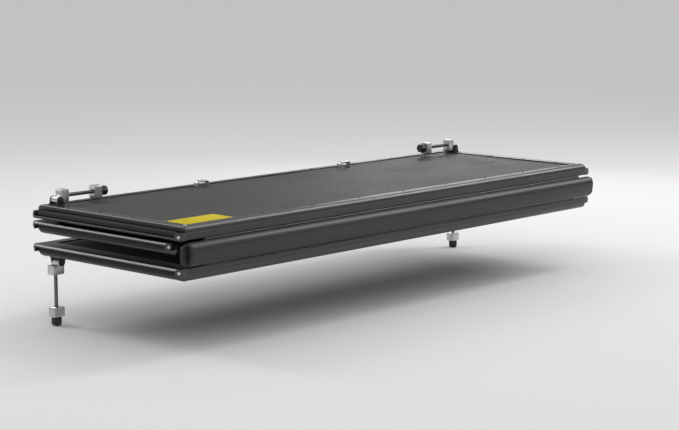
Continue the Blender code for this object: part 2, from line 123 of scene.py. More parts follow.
finishSettings = {
    "board": {"dark": grey(0.027), "light": grey(0.052), "mottle": 46.0, "grain": "pebble", "scale": 330.0,
              "depth": 0.0018, "bump": 0.75, "rough": (0.44, 0.60), "wear": grey(0.11), "wearAmount": 0.25,
              "dust": 0.35, "specular": 0.3},
    "rail": {"dark": grey(0.010), "light": grey(0.016), "mottle": 30.0, "grain": "fine", "scale": 1500.0,
             "depth": 0.0002, "bump": 0.20, "rough": (0.27, 0.38), "wear": grey(0.16), "wearAmount": 0.55,
             "dust": 0.25, "ior": 1.7},
    "spine": {"dark": grey(0.019), "light": grey(0.028), "mottle": 24.0, "grain": "fine", "scale": 900.0,
              "depth": 0.0002, "bump": 0.22, "rough": (0.36, 0.47), "wear": grey(0.14), "wearAmount": 0.4,
              "dust": 0.3, "stretch": (0.06, 1, 1)},
    "cap": {"dark": grey(0.011), "light": grey(0.016), "mottle": 60.0, "grain": "pebble", "scale": 900.0,
            "depth": 0.0003, "bump": 0.35, "rough": (0.42, 0.55), "wear": grey(0.06), "wearAmount": 0.4,
            "dust": 0.2},
    "rubber": {"dark": grey(0.0075), "light": grey(0.013), "mottle": 70.0, "grain": "fine", "scale": 700.0,
               "depth": 0.0004, "bump": 0.4, "rough": (0.66, 0.82), "wear": grey(0.03), "wearAmount": 0.35,
               "dust": 0.5},
    "hinge": {"dark": grey(0.045), "light": grey(0.075), "mottle": 40.0, "grain": "fine", "scale": 1400.0,
              "depth": 0.0002, "bump": 0.25, "rough": (0.30, 0.44), "wear": grey(0.40), "wearAmount": 0.6,
              "dust": 0.2, "metal": 0.85, "stretch": (0.04, 1, 1)},
    "bright": {"dark": grey(0.50), "light": grey(0.66), "mottle": 80.0, "grain": "pebble", "scale": 1100.0,
               "depth": 0.0003, "bump": 0.3, "rough": (0.26, 0.44), "wear": grey(0.8), "wearAmount": 0.5,
               "dust": 0.15, "metal": 1.0},
    "steel": {"dark": grey(0.10), "light": grey(0.20), "mottle": 90.0, "grain": "fine", "scale": 1300.0,
              "depth": 0.0002, "bump": 0.25, "rough": (0.28, 0.46), "wear": grey(0.5), "wearAmount": 0.6,
              "dust": 0.15, "metal": 0.95},
    "yellow": {"dark": (0.52, 0.40, 0.012, 1), "light": (0.66, 0.53, 0.018, 1), "mottle": 55.0,
               "grain": "fine", "scale": 420.0, "depth": 0.0002, "bump": 0.25, "rough": (0.58, 0.74),
               "wear": (0.78, 0.70, 0.25, 1), "wearAmount": 0.3, "dust": 0.35, "specular": 0.15},
}

# How the noises are drawn and mixed, the same in every finish
mixSettings = {"mottleDetail": 4.0, "broadDivide": 9, "broadDetail": 3.0, "fineDetail": 3.0, "softDetail": 2.0,
               "pebbleSoft": 0.35, "fineSoft": 0.2, "softAmount": 0.5, "cellSmooth": 0.6, "cellDepth": 0.9,
               "edge": (0.60, 0.76), "worn": (0.38, 0.62), "dust": (0.45, 0.75), "tone": (0.3, 0.7),
               "grainTone": (0.35, 0.9), "grainAmount": 0.35, "roughMottle": 0.6, "roughBroad": 0.4,
               "dustRough": 0.12}


def makeFinish(name, s):
    # Height is one less the distance to the nearest pebble, or fine noise, plus softer noise. Tone runs from
    # dark to light with the mottle and the height, then to wear on convex edges. Roughness runs between its
    # two ends with the mottle and a broad noise, and dust raises it.
    m = mixSettings
    material = bpy.data.materials.new(name + "Finish")
    material.use_nodes = True
    tree = material.node_tree
    shader = tree.nodes["Principled BSDF"]
    wire = Wire(tree)
    place = wire.add("ShaderNodeTexCoord", out="Object")
    drawn = wire.add("ShaderNodeVectorMath", {"operation": "MULTIPLY"}, {0: place, 1: s["stretch"]})

    def noise(where, scale, detail):
        return wire.add("ShaderNodeTexNoise", None, {"Vector": where, "Scale": scale, "Detail": detail})

    mottle = noise(drawn, s["mottle"], m["mottleDetail"])
    broad = noise(place, s["mottle"] / m["broadDivide"], m["broadDetail"])
    if s["grain"] == "pebble":
        cells = wire.add("ShaderNodeTexVoronoi", {"feature": "SMOOTH_F1"},
                         {"Vector": drawn, "Scale": s["scale"], "Smoothness": m["cellSmooth"]})
        soft = noise(drawn, s["scale"] * m["pebbleSoft"], m["softDetail"])
        height = 1.0 - cells * m["cellDepth"] + soft * m["softAmount"]
    else:
        soft = noise(drawn, s["scale"] * m["fineSoft"], m["softDetail"])
        height = noise(drawn, s["scale"], m["fineDetail"]) + soft * m["softAmount"]
    edge = wire.add("ShaderNodeNewGeometry", out="Pointiness").band(*m["edge"])
    worn = edge * mottle.band(*m["worn"]) * s["wearAmount"]
    dust = broad.band(*m["dust"]) * s["dust"]
    tone = blendColour(wire, mottle.band(*m["tone"]), s["dark"], s["light"])
    tone = blendColour(wire, height.band(*m["grainTone"]) * m["grainAmount"], tone, s["light"])
    tone = blendColour(wire, worn, tone, s["wear"])
    smooth, dull = s["rough"]
    wander = mottle * m["roughMottle"] + broad * m["roughBroad"]
    rough = smooth + wander * (dull - smooth) + dust * m["dustRough"]
    bump = wire.add("ShaderNodeBump", None,
                    {"Strength": s["bump"], "Distance": s["depth"], "Height": height})
    for key, value in (("Base Color", tone), ("Roughness", rough), ("Normal", bump)):
        tree.links.new(value.socket, shader.inputs[key])
    for key, value in (("Metallic", "metal"), ("Specular IOR Level", "specular"), ("IOR", "ior")):
        shader.inputs[key].default_value = s[value]
    return material


finishes = {name: makeFinish(name, {**plainFinish, **s}) for name, s in finishSettings.items()}
print("finishes made:", len(finishes))


# Mesh building. A shape is a pair: its points, and its faces as lists of point numbers.

xAxis, yAxis, zAxis = 0, 1, 2
sides = ((-1, "left"), (1, "right"))
tiny = 1e-9  # keeps an edge of no length from dividing by zero


def camel(name):
    # A CAD name without its underscores, each word after the first with a capital.
    words = name.split("_")
    return words[0] + "".join(word.title() for word in words[1:])


def boxOf(node):
    # The low and high corners of a CAD node's box.
    return [np.array(corner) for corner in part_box(node)]


def addObject(name, data):
    # A new object in the scene, at the origin.
    item = bpy.data.objects.new(name, data)
    bpy.context.scene.collection.objects.link(item)
    return item


def addPiece(name, shapes, finish, body, nodes=(), sharp=38.0):
    # Joins the shapes into one mesh, faces outward, smooth except at edges past the sharp angle.
    verts, faces, start = [], [], 0
    for points, rings in shapes:
        verts.append(np.asarray(points, dtype=float))
        faces += [[start + i for i in ring] for ring in rings]
        start += len(points)
    mesh = bpy.data.meshes.new(name)
    mesh.from_pydata(np.concatenate(verts).tolist(), [], faces)
    work = bmesh.new()
    work.from_mesh(mesh)
    bmesh.ops.recalc_face_normals(work, faces=work.faces)
    work.to_mesh(mesh)
    work.free()
    mesh.polygons.foreach_set("use_smooth", np.ones(len(mesh.polygons), dtype=bool))
    mesh.set_sharp_from_angle(angle=math.radians(sharp))
    mesh.materials.append(finishes[finish])
    piece = addObject(name, mesh)
    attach(piece, body)
    if nodes:
        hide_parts(*nodes)


def tube(rings, loop=False):
    # Rings of equally many points, each joined to the next by a row of faces. A face closes each end, or in a
    # loop, like a collar round a hole, the last ring is joined to the first.
    rings = np.asarray(rings, dtype=float)
    index = np.arange(rings[..., 0].size).reshape(rings.shape[:2])
    below = np.roll(index, -1, axis=0)
    quads = np.stack([index, below, np.roll(below, -1, axis=1), np.roll(index, -1, axis=1)], axis=-1)
    if loop:
        faces = quads.reshape(-1, 4).tolist()
    else:
        faces = quads[:-1].reshape(-1, 4).tolist() + [index[0].tolist(), index[-1][::-1].tolist()]
    return rings.reshape(-1, 3), faces


def line(*points):
    # Points of a straight run.
    return np.array(points, dtype=float)


def arc(centre, radius, start, end, steps):
    # centre + radius (cos a, sin a), with a from start to end in degrees.
    angles = np.radians(np.linspace(start, end, steps + 1))
    return np.stack([centre[0] + radius * np.cos(angles), centre[1] + radius * np.sin(angles)], axis=1)


def quarter(steps):
    # Angles from nought to a right angle.
    return np.radians(np.linspace(0, 90, steps + 1))


def fullTurn(points):
    # Angles once round, the last one step short of the first.
    return np.linspace(0, 2 * np.pi, points, endpoint=False)


def circle(points):
    # (cos t, sin t) once round.
    turn = fullTurn(points)
    return np.stack([np.cos(turn), np.sin(turn)], axis=1)


def superellipse(points, power):
    # u = sign(cos t) |cos t|^power and v = sign(sin t) |sin t|^power, once round.
    across, out = circle(points).T
    return np.sign(across) * np.abs(across) ** power, np.sign(out) * np.abs(out) ** power


def roundBox(low, high, radius, steps):
    # A rectangle with a quarter circle at each corner.
    corners = ((high[0] - radius, high[1] - radius, 0), (low[0] + radius, high[1] - radius, 90),
               (low[0] + radius, low[1] + radius, 180), (high[0] - radius, low[1] + radius, 270))
    return np.concatenate([arc((x, y), radius, a, a + 90, steps) for x, y, a in corners])


def inset(outline, amount):
    # Moves each point of a closed outline inward along the mean normal of its two edges.
    ahead = np.roll(outline, -1, axis=0) - outline
    edge = ahead / np.maximum(np.linalg.norm(ahead, axis=1, keepdims=True), tiny)
    normal = np.stack([-edge[:, 1], edge[:, 0]], axis=1)
    mean = normal + np.roll(normal, 1, axis=0)
    mean /= np.maximum(np.linalg.norm(mean, axis=1, keepdims=True), tiny)
    x, y = outline.T
    turning = np.sum(x * np.roll(y, -1) - y * np.roll(x, -1))
    return outline + mean * amount * np.sign(turning)


def groove(start, end, depth, outward, wall=0.25):
    # A shallow trench between two points of a straight edge, each sloping wall a quarter of its width;
    # outward is the edge's outer normal.
    start, end, outward = (np.array(v, dtype=float) for v in (start, end, outward))
    return np.stack([start, start * (1 - wall) + end * wall - outward * depth,
                     start * wall + end * (1 - wall) - outward * depth, end])


def atX(x, outline):
    # A (y, z) outline stood up at one x.
    return np.column_stack([np.full(len(outline), x), outline])


def atY(y, outline):
    # An (x, z) outline stood up at one y.
    return np.column_stack([outline[:, 0], np.full(len(outline), y), outline[:, 1]])


def atZ(z, outline):
    # An (x, y) outline laid at one z.
    return np.column_stack([outline, np.full(len(outline), z)])


def alongX(outline, xs, eases):
    # A (y, z) outline carried along X, drawn in at each x by its ease.
    return tube([atX(x, inset(outline, ease)) for x, ease in zip(xs, eases)])


# Screw head: the rows are shares of its radius and height, from the seat over the dome into the socket

headSettings = {"points": 18, "dome": ((1.0, 0.0), (1.0, 0.35), (0.86, 0.75), (0.62, 0.96)), "hollow": 0.45,
                "socket": (1.0, 0.45), "middle": (0.06, 0.35), "upright": 0.6}


def screwHead(centre, normal, radius, height, hollow=headSettings["hollow"]):
    # A domed profile turned about the normal. The socket's rings are drawn to a hexagon, whose radius is
    # cos 30 over the cosine of the angle from the middle of the flat.
    s = headSettings
    normal = np.array(normal, dtype=float)
    side = np.cross(normal, (0.0, 1.0, 0.0) if abs(normal[1]) < s["upright"] else (0.0, 0.0, 1.0))
    side /= np.linalg.norm(side)
    other = np.cross(normal, side)
    turn = fullTurn(s["points"])
    hexagon = np.cos(np.pi / 6) / np.cos((turn % (np.pi / 3)) - np.pi / 6)
    rows = [(reach, lift, 1.0) for reach, lift in s["dome"]]
    rows += [(hollow, lift, hexagon) for lift in s["socket"]] + [(*s["middle"], 1.0)]
    rings = []
    for reach, lift, form in rows:
        r = radius * reach * form * np.ones_like(turn)
        rings.append(centre + np.outer(r * np.cos(turn), side) + np.outer(r * np.sin(turn), other)
                     + normal * height * lift)
    return tube(rings)


# Panels: sizes shared by their rails, boards and screws, read from the frame where it gives them

panelSettings = {"wall": 0.0025, "flange": 0.030, "edgeRadius": 0.014, "underRound": 0.005, "tipRound": 0.0009,
                 "tipSteps": 3, "lipReach": 0.024, "lipThickness": 0.007, "stopLength": 0.014,
                 "stopLow": 0.014, "gap": 0.0003}


def readPanel(name):
    # up is the way its skin faces: the middle panel lies upside down in the stack.
    rearLow, rearHigh = boxOf(name + "_rail_rear")
    nose = boxOf(name + "_rail_nose")[1][1]
    lipEdge = boxOf(name + "_rail_right")[1][0]
    up = -1 if name == "middle_panel" else 1
    return {"name": name, "short": name.split("_")[0], "up": up, "thick": rearHigh[2] - rearLow[2],
            "under": rearLow[2] if up > 0 else rearHigh[2], "rear": rearLow[1], "nose": nose,
            "bodyHalf": lipEdge - panelSettings["lipReach"], "lipEdge": lipEdge}


def panelZ(panel, height):
    # The underside's z, plus or minus the height above the underside.
    return panel["under"] + panel["up"] * np.asarray(height)


panels = {name: readPanel(name) for name in ("front_panel", "middle_panel", "rear_panel")}


# Cross rail: an extruded channel with drawn lines. Profile is (inward, height), carried along X.

crossRail = {"lines": ((0.0195, 0.0212), (0.0262, 0.0275)), "underLine": (0.0188, 0.0206),
             "lineDepth": 0.0007, "topRound": 0.0012, "topSteps": 4, "edgeSteps": 14, "innerSteps": 8,
             "endPlaces": (0.0, 0.0006, 0.0014)}


def crossRailProfile(thick):
    # Down the face from the top round, through the lines and the quarter circle to the underside, round the
    # lower flange's tip, and back along the inside of the wall to the upper flange's tip.
    p, c = panelSettings, crossRail
    r, w, f = p["edgeRadius"], p["wall"], p["flange"]
    top, tip, depth = c["topRound"], p["tipRound"], c["lineDepth"]
    outer, inner = c["underLine"]
    return np.concatenate([
        arc((top, thick - top), top, 90, 180, c["topSteps"]),
        *(groove((0, high), (0, low), depth, (-1, 0)) for low, high in reversed(c["lines"])),
        arc((r, r), r, 180, 270, c["edgeSteps"]),
        groove((outer, 0), (inner, 0), depth, (0, -1)),
        arc((f - tip, tip), tip, -90, 0, p["tipSteps"]),
        line((f, w)),
        arc((r, r), r - w, 270, 180, c["innerSteps"]),
        line((w, thick - w), (f, thick - w)),
        arc((f - tip, thick - tip), tip, 0, 90, p["tipSteps"]),
    ])


def crossRailShape(panel, edge, inward):
    # Towards each end the underside rises on the side rail's own round: rise = r - sqrt(r^2 - (r - s)^2),
    # with s the distance from the side face.
    p = panelSettings
    outline = crossRailProfile(panel["thick"])
    reach = panel["bodyHalf"] - p["wall"] - p["gap"]
    r = p["underRound"]
    near = np.array([*crossRail["endPlaces"], r])
    x = np.concatenate([near - reach, (reach - near)[::-1]])[:, None]
    fromFace = np.minimum(panel["bodyHalf"] - np.abs(x), r)
    rise = r - np.sqrt(r * r - (r - fromFace) ** 2)
    d, h = outline.T
    height = rise + h * (1 - rise / panel["thick"])
    return tube(np.stack(np.broadcast_arrays(x, edge + inward * d, panelZ(panel, height)), axis=-1))


# Side rail: a channel with a bevelled lip. Profile is (inward, height), carried along Y.

sideRail = {"lipBevel": 0.0038, "lipRound": 0.0010, "lipBottom": 0.0012, "lines": ((0.0062, 0.0074),),
            "topLine": (0.0012, 0.0026), "lineDepth": 0.0006, "underSteps": 8, "bottomSteps": 4,
            "bevelSteps": 3, "endSteps": 10, "jump": 0.00005, "slack": 0.00001}


def sideRailProfile(thick):
    # Up the face from the lower round, out under the lip, up its bevel, and back over the top and along the
    # inside. Also tells which points lie under the lip, where the end stops come down.
    p, c = panelSettings, sideRail
    w, f, reach = p["wall"], p["flange"], p["lipReach"]
    r, tip, b = p["underRound"], p["tipRound"], c["lipBottom"]
    shelf, depth = thick - p["lipThickness"], c["lineDepth"]
    bevel, q = c["lipBevel"], c["lipRound"]
    tangent = q * np.tan(np.radians(45 / 2))  # a 45 degree bevel, so each of its fillets turns by 45
    outer, inner = c["topLine"]
    face = [
        arc((r, r), r, 270, 180, c["underSteps"]),
        *(groove((0, low), (0, high), depth, (-1, 0)) for low, high in c["lines"]),
    ]
    lip = [line((0, shelf)), arc((b - reach, shelf + b), b, 270, 180, c["bottomSteps"])]
    over = [
        arc((q - reach, thick - bevel - tangent), q, 180, 135, c["bevelSteps"]),
        arc((bevel + tangent - reach, thick - q), q, 135, 90, c["bevelSteps"]),
        groove((outer, thick), (inner, thick), depth, (0, 1)),
        arc((f - tip, thick - tip), tip, 90, 0, p["tipSteps"]),
        line((f, thick - w), (w, thick - w), (w, r), (r, w), (f, w)),
        arc((f - tip, tip), tip, 0, -90, p["tipSteps"]),
    ]
    runs = [np.concatenate(run) for run in (face, lip, over)]
    return np.concatenate(runs), np.repeat((False, True, False), [len(run) for run in runs])


def sideRailShape(panel, side):
    # With s the distance from the nearer end and rise = r - sqrt(r^2 - (r - s)^2), no point lies lower than
    # the rise or further out than the lip's reach less the rise. Near the ends the flanges stop at the web
    # and the lip comes down to its end stop, each in a jump of hardly any length.
    p, c = panelSettings, sideRail
    outline, underLip = sideRailProfile(panel["thick"])
    depth = panel["nose"] - panel["rear"]
    r, stop = p["edgeRadius"], p["flange"] + p["gap"]
    near = np.concatenate([r * (1 - np.cos(quarter(c["endSteps"])[:-1])),
                           [p["stopLength"] - c["jump"], p["stopLength"], stop - c["jump"], stop]])
    along = np.concatenate([near, (depth - near)[::-1]])[:, None]
    s = np.minimum(along, depth - along)
    rise = r - np.sqrt(r * r - np.clip(r - s, 0, r) ** 2)
    d = np.maximum(outline[:, 0], rise - p["lipReach"])
    h = np.maximum(outline[:, 1], rise)
    d = np.where(s < stop - c["slack"], np.minimum(d, p["wall"]), d)
    shelf = panel["thick"] - p["lipThickness"]
    h = np.where(underLip & (s < p["stopLength"] - c["slack"]), h - shelf + p["stopLow"], h)
    x, y, z = side * (panel["bodyHalf"] - d), panel["rear"] + along, panelZ(panel, h)
    return tube(np.stack(np.broadcast_arrays(x, y, z), axis=-1))


# Board: a slab whose two skins are not quite flat. A wave is (a, b, c) for the sine of a x + b y + c.

boardSettings = {"across": 96, "along": 40, "height": 0.00028, "waves": ((9, 4, 0.7), (-3, 13, 1.9)),
                 "ripple": (21, -7, 0.0), "rippleShare": 0.6, "sink": 1.0}


def boardShape(panel):
    # Height over the skin is the product of two slow sines, plus a share of a quicker one, less the sink.
    s = boardSettings
    low, high = boxOf(panel["name"] + "_board")
    x = np.linspace(low[0], high[0], s["across"])[:, None]
    y = np.linspace(low[1], high[1], s["along"])[None, :]
    first, second, quick = (np.sin(a * x + b * y + c) for a, b, c in (*s["waves"], s["ripple"]))
    wave = s["height"] * (first * second + s["rippleShare"] * quick - s["sink"])
    top = np.stack(np.broadcast_arrays(x, y, high[2] + wave), axis=-1)
    bottom = np.stack(np.broadcast_arrays(x, y, low[2] - wave), axis=-1)[:, ::-1]
    return tube(np.concatenate([top, bottom], axis=1))


for name, panel in panels.items():
    short = panel["short"]
    addPiece(short + "Board", [boardShape(panel)], "board", name, [name + "_board"])
    for word, inward in (("rear", 1), ("nose", -1)):
        addPiece(short + "Rail" + word.title(), [crossRailShape(panel, panel[word], inward)], "rail", name,
                 [name + "_rail_" + word])
    for side, word in sides:
        addPiece(short + "Rail" + word.title(), [sideRailShape(panel, side)], "rail", name,
                 [name + "_rail_" + word])
print("panels made")


# Spine: a D outline carried along X, fullest at its crown, with one drawn line low on its rear face.
# Its caps carry the outline on, and each has a lip plate.

spineSettings = {"steps": 28, "crown": 0.658, "shoulder": 0.003, "line": (0.150, 0.185), "lineDepth": 0.0008,
                 "endEase": 0.0004, "sharp": 25.0}
capSettings = {"thick": 0.006, "round": 0.0045, "roundSteps": 7, "lipThickness": 0.007, "lipInset": 0.003,
               "lipCorner": 0.014, "cornerSteps": 10, "lipEase": 0.0012}


def spineOutline():
    # Two quarter ellipses that share the bulge and meet at the crown, closed by the flat front.
    s = spineSettings
    low, high = boxOf("spine_bar")
    flat, rear, bottom, top = high[1], low[1], low[2], high[2]
    crown = bottom + (top - bottom) * s["crown"]
    shoulder = flat - s["shoulder"]
    bulge = shoulder - rear
    turn = quarter(s["steps"])
    lower = np.stack([shoulder - bulge * np.sin(turn), crown - (crown - bottom) * np.cos(turn)], axis=1)
    upper = np.stack([shoulder - bulge * np.cos(turn), crown + (top - crown) * np.sin(turn)], axis=1)[1:]
    share = (lower[:, 1] - bottom) / (top - bottom)
    inLine = (share > s["line"][0]) & (share < s["line"][1])
    lower[inLine, 0] += s["lineDepth"]
    return np.concatenate([line((flat, bottom)), lower, upper, line((flat, top))])


def spineShape():
    # The outline from end to end, drawn in a little at both ends.
    low, high = boxOf("spine_bar")
    ease = spineSettings["endEase"]
    return alongX(spineOutline(), (low[0], low[0] + ease, high[0] - ease, high[0]), (ease, 0, 0, ease))


def spineCapShapes(side, word):
    # The outline again, drawn in on a quarter circle towards the cap's outer face, and a lip plate whose
    # (x, z) outline has two round corners.
    s = capSettings
    flat = boxOf("spine_bar")[1][1]
    low, high = boxOf("spine_cap_" + word)
    seat, end = (-high[0], -low[0]) if side < 0 else (low[0], high[0])
    turn = quarter(s["roundSteps"])
    xs = np.concatenate([[seat], seat + s["thick"] - s["round"] * (1 - np.sin(turn))])
    cap = alongX(spineOutline(), side * xs, np.concatenate([[0], s["round"] * (1 - np.cos(turn))]))
    r, bottom, top = s["lipCorner"], low[2] + s["lipInset"], high[2] - s["lipInset"]
    plate = np.concatenate([line((seat, bottom)), arc((end - r, bottom + r), r, 270, 360, s["cornerSteps"]),
                            arc((end - r, top - r), r, 0, 90, s["cornerSteps"]), line((seat, top))])
    ease, back = s["lipEase"], flat - s["lipThickness"]
    rows = ((flat, ease), (flat - ease, 0), (back + ease, 0), (back, ease))
    return [cap, tube([atY(y, inset(plate, drawnIn) * (side, 1)) for y, drawnIn in rows])]


addPiece("spineBar", [spineShape()], "spine", "spine", ["spine_bar"], sharp=spineSettings["sharp"])
for side, word in sides:
    addPiece("spineCap" + word.title(), spineCapShapes(side, word), "cap", "spine", ["spine_cap_" + word])
print("spine made")


# Soft strips: a ribbed section carried along one axis, with round ends

stripSettings = {"points": 56, "ribDepth": 0.00035, "endRound": 0.004, "endSteps": 5, "endShrink": 0.55,
                 "side": {"square": 0.55, "ribs": 5}, "end": {"square": 0.8, "ribs": 3},
                 "rest": {"square": 0.35, "ribs": 6}}


def softStrip(node, along, across, kind):
    # Section is a superellipse whose height is less by ribs, a cosine of its width. Both ends shrink in on a
    # quarter circle.
    s, k = stripSettings, stripSettings[kind]
    low, high = boxOf(node)
    middle, half = (low + high) / 2, (high - low) / 2
    out = xAxis + yAxis + zAxis - along - across  # the axis that is left
    u, v = superellipse(s["points"], k["square"])
    rib = s["ribDepth"] * (0.5 + 0.5 * np.cos(2 * np.pi * k["ribs"] * u))
    turn = quarter(s["endSteps"])
    near = s["endRound"] * (1 - np.cos(turn))
    shrink = 1 - (1 - np.sin(turn)) * s["endShrink"]
    place = np.concatenate([low[along] + near, (high[along] - near)[::-1]])[:, None]
    scale = np.concatenate([shrink, shrink[::-1]])[:, None]
    rings = np.zeros((len(place), len(u), 3))
    rings[:, :, along] = place
    rings[:, :, across] = middle[across] + scale * (half[across] * u)
    rings[:, :, out] = middle[out] + scale * ((half[out] - rib) * v)
    return tube(rings)


for name, panel in panels.items():
    for word in ("left", "right"):
        node = name + "_seal_" + word
        addPiece(panel["short"] + "Seal" + word.title(), [softStrip(node, yAxis, xAxis, "side")], "rubber",
                 name, [node])
for node, body, kind in (("bulkhead_seal", "front_panel", "end"), ("tailgate_seal", "rear_panel", "end"),
                         ("tail_rest", "rear_panel", "rest")):
    addPiece(camel(node), [softStrip(node, xAxis, zAxis, kind)], "rubber", body, [node])
print("seals made")


# Long hinges: a leaf is a flat strip beside the axis, a row of collars round the pin and a row of rivets

hingeSettings = {"knuckles": 11, "endInset": 0.060, "leafWidth": 0.024, "leaf": (0.0021, 0.0037),
                 "edgeRound": 0.9, "edgeSteps": 6, "stripEnd": 0.0006, "stripEase": 0.0003, "barrel": 0.0034,
                 "bore": 0.0019, "barrelEase": 0.0004, "barrelPoints": 24, "gap": 0.0006, "clear": 0.0039,
                 "tabOverlap": 0.001, "tabEnd": 0.0005}
rivetSettings = {"count": 16, "fromEnd": 0.03, "place": 0.62, "radius": 0.0026, "height": 0.0008,
                 "hollow": 0.3}
pinSettings = {"radius": 0.0016, "points": 20, "domeStart": 8, "domePoints": 6}


def axisOf(pinNode):
    # The (y, z) of a pin's middle line.
    low, high = boxOf(pinNode)
    return ((low + high) / 2)[1:]


def hingeLeafShapes(axis, along, toSkin, first):
    # p runs along the strip and q from the axis to the skin it lies on, so a point is axis + a p + b q. A
    # collar is a ring round the axis swept from end to end, on every second knuckle, with a tab to the strip.
    s, t = hingeSettings, rivetSettings
    p, q = np.array(along, dtype=float), np.array(toSkin, dtype=float)
    length = 2 * (panels["front_panel"]["bodyHalf"] - s["endInset"])
    pitch = length / s["knuckles"]
    left, right = -length / 2, length / 2
    low, high = s["leaf"]

    def yz(points):
        return axis + np.outer(points[:, 0], p) + np.outer(points[:, 1], q)

    r = (high - low) / 2 * s["edgeRound"]
    edge = s["leafWidth"] - r
    strip = np.concatenate([line((s["clear"], low), (edge, low)),
                            arc((edge, (low + high) / 2), r, -90, 90, s["edgeSteps"]),
                            line((s["clear"], high))])
    shapes = [alongX(yz(strip), (left, left + s["stripEnd"], right - s["stripEnd"], right),
                     (s["stripEase"], 0, 0, s["stripEase"]))]
    reach = s["clear"] + s["tabOverlap"]
    tab = line((0, low), (reach, low), (reach, high), (0, high))
    collar = circle(s["barrelPoints"])
    bore, barrel, e = s["bore"], s["barrel"], s["barrelEase"]
    for start in left + pitch * np.arange(first, s["knuckles"], 2) + s["gap"] / 2:
        end = start + pitch - s["gap"]
        path = ((start, bore), (start, barrel - e), (start + e, barrel), (end - e, barrel),
                (end, barrel - e), (end, bore))
        shapes.append(tube([atX(x, axis + radius * collar) for x, radius in path], loop=True))
        shapes.append(alongX(yz(tab), (start + s["tabEnd"], end - s["tabEnd"]), (0, 0)))
    spot = axis + p * (s["leafWidth"] * t["place"]) + q * low
    normal = np.array([0, *(-q)])
    for x in np.linspace(left + t["fromEnd"], right - t["fromEnd"], t["count"]):
        shapes.append(screwHead(np.array([x, *spot]), normal, t["radius"], t["height"], t["hollow"]))
    return shapes


def pinShape(node):
    # A round bar whose ends are domed: r sin a across at r (1 - cos a) from the end.
    s = pinSettings
    low, high = boxOf(node)
    axis, r = axisOf(node), s["radius"]
    dome = np.radians(np.linspace(s["domeStart"], 90, s["domePoints"]))
    xs = np.concatenate([low[0] + r - r * np.cos(dome), (high[0] - r + r * np.cos(dome))[::-1]])
    radii = np.concatenate([r * np.sin(dome), (r * np.sin(dome))[::-1]])
    return tube([atX(x, axis + radius * circle(s["points"])) for x, radius in zip(xs, radii)])


# Leaf, its pin, p, q, the first knuckle it owns and the body it rides on
hingeLeaves = (("front_hinge_panel_leaf", "front_hinge_pin", (1, 0), (0, -1), 0, "front_panel"),
               ("front_hinge_spine_leaf", "front_hinge_pin", (0, 1), (-1, 0), 1, "spine"),
               ("middle_hinge_spine_leaf", "middle_hinge_pin", (0, -1), (-1, 0), 1, "spine"),
               ("middle_hinge_panel_leaf", "middle_hinge_pin", (1, 0), (0, 1), 0, "middle_panel"),
               ("rear_hinge_middle_leaf", "rear_hinge_pin", (-1, 0), (0, 1), 0, "middle_panel"),
               ("rear_hinge_rear_leaf", "rear_hinge_pin", (-1, 0), (0, -1), 1, "rear_panel"))

for node, pin, along, toSkin, first, body in hingeLeaves:
    addPiece(camel(node), hingeLeafShapes(axisOf(pin), along, toSkin, first), "hinge", body, [node])
for pin, body in (("front_hinge_pin", "front_panel"), ("middle_hinge_pin", "spine"),
                  ("rear_hinge_pin", "middle_panel")):
    addPiece(camel(pin), [pinShape(pin)], "steel", body, [pin])
print("hinges made")


# Rail clamps, drawn about the swing pivot: x along the rod, z across it, y along the pivot pin

clampSettings = {"pivotHeight": 0.0137, "width": 0.025, "lug": 0.0095, "reach": 0.025, "rodHeight": 0.009,
                 "ease": 0.0014, "easeStep": 0.3}


def clampFrames(name, side, deployed):
    # Origin and three directions for the base and for the arm. A deployed arm is turned by a right angle, so
    # that its rod points away from the panel.
    low, high = boxOf(name + "_base")
    away = np.array([0, 0, -1.0 if deployed else 1.0])
    inward = np.array([-side, 0, 0.0])
    y = np.cross(away, inward)
    seat = high[2] if deployed else low[2]
    origin = np.array([*((low + high) / 2)[:2], seat + away[2] * clampSettings["pivotHeight"]])
    base = (origin, inward, y, away)
    arm = (origin, away, y, -inward) if deployed else base
    return base, arm


def placed(frameOf, points):
    # Origin + x ex + y ey + z ez.
    origin, ex, ey, ez = frameOf
    points = np.asarray(points)
    return origin + points[..., :1] * ex + points[..., 1:2] * ey + points[..., 2:] * ez


def block(frameOf, outline, low, high, ease):
    # An (x, z) outline carried along y with both edges eased in two steps.
    step = ease * clampSettings["easeStep"]
    rows = ((low, ease), (low + step, step), (low + ease, 0), (high - ease, 0), (high - step, step),
            (high, ease))
    return tube([placed(frameOf, atY(y, inset(outline, drawnIn))) for y, drawnIn in rows])


def turned(frameOf, profile, points, axis, centre, wobble=None):
    # (distance, radius) profile turned about an axis; wobble(theta, distance) is taken off the radius.
    theta = fullTurn(points)
    distance, radius = np.array(profile).T
    r = radius[:, None] - (wobble(theta[None, :], distance[:, None]) if wobble else 0.0)
    grid = np.zeros((len(distance), points, 3))
    first, second = (i for i in (xAxis, yAxis, zAxis) if i != axis)
    grid[:, :, axis] = distance[:, None]
    grid[:, :, first] = centre[0] + r * np.cos(theta)
    grid[:, :, second] = centre[1] + r * np.sin(theta)
    return tube(placed(frameOf, grid))


def clampSpans(name, arm):
    # Where each part starts and ends along the rod: its box's corners projected on the rod's direction.
    return {part: sorted(float(np.dot(corner - arm[0], arm[1])) for corner in boxOf(name + "_" + part))
            for part in ("arm", "jaw", "rod", "knob")}


armSettings = {"start": 0.006, "corner": 0.0035, "neck": 0.002, "lugSteps": 18, "neckSteps": 4,
               "cornerSteps": 6, "tipShare": 0.5, "tipSteps": 4, "teeth": 4, "toothDepth": 0.0010,
               "teethTop": 0.0025, "teethLow": 0.0150}


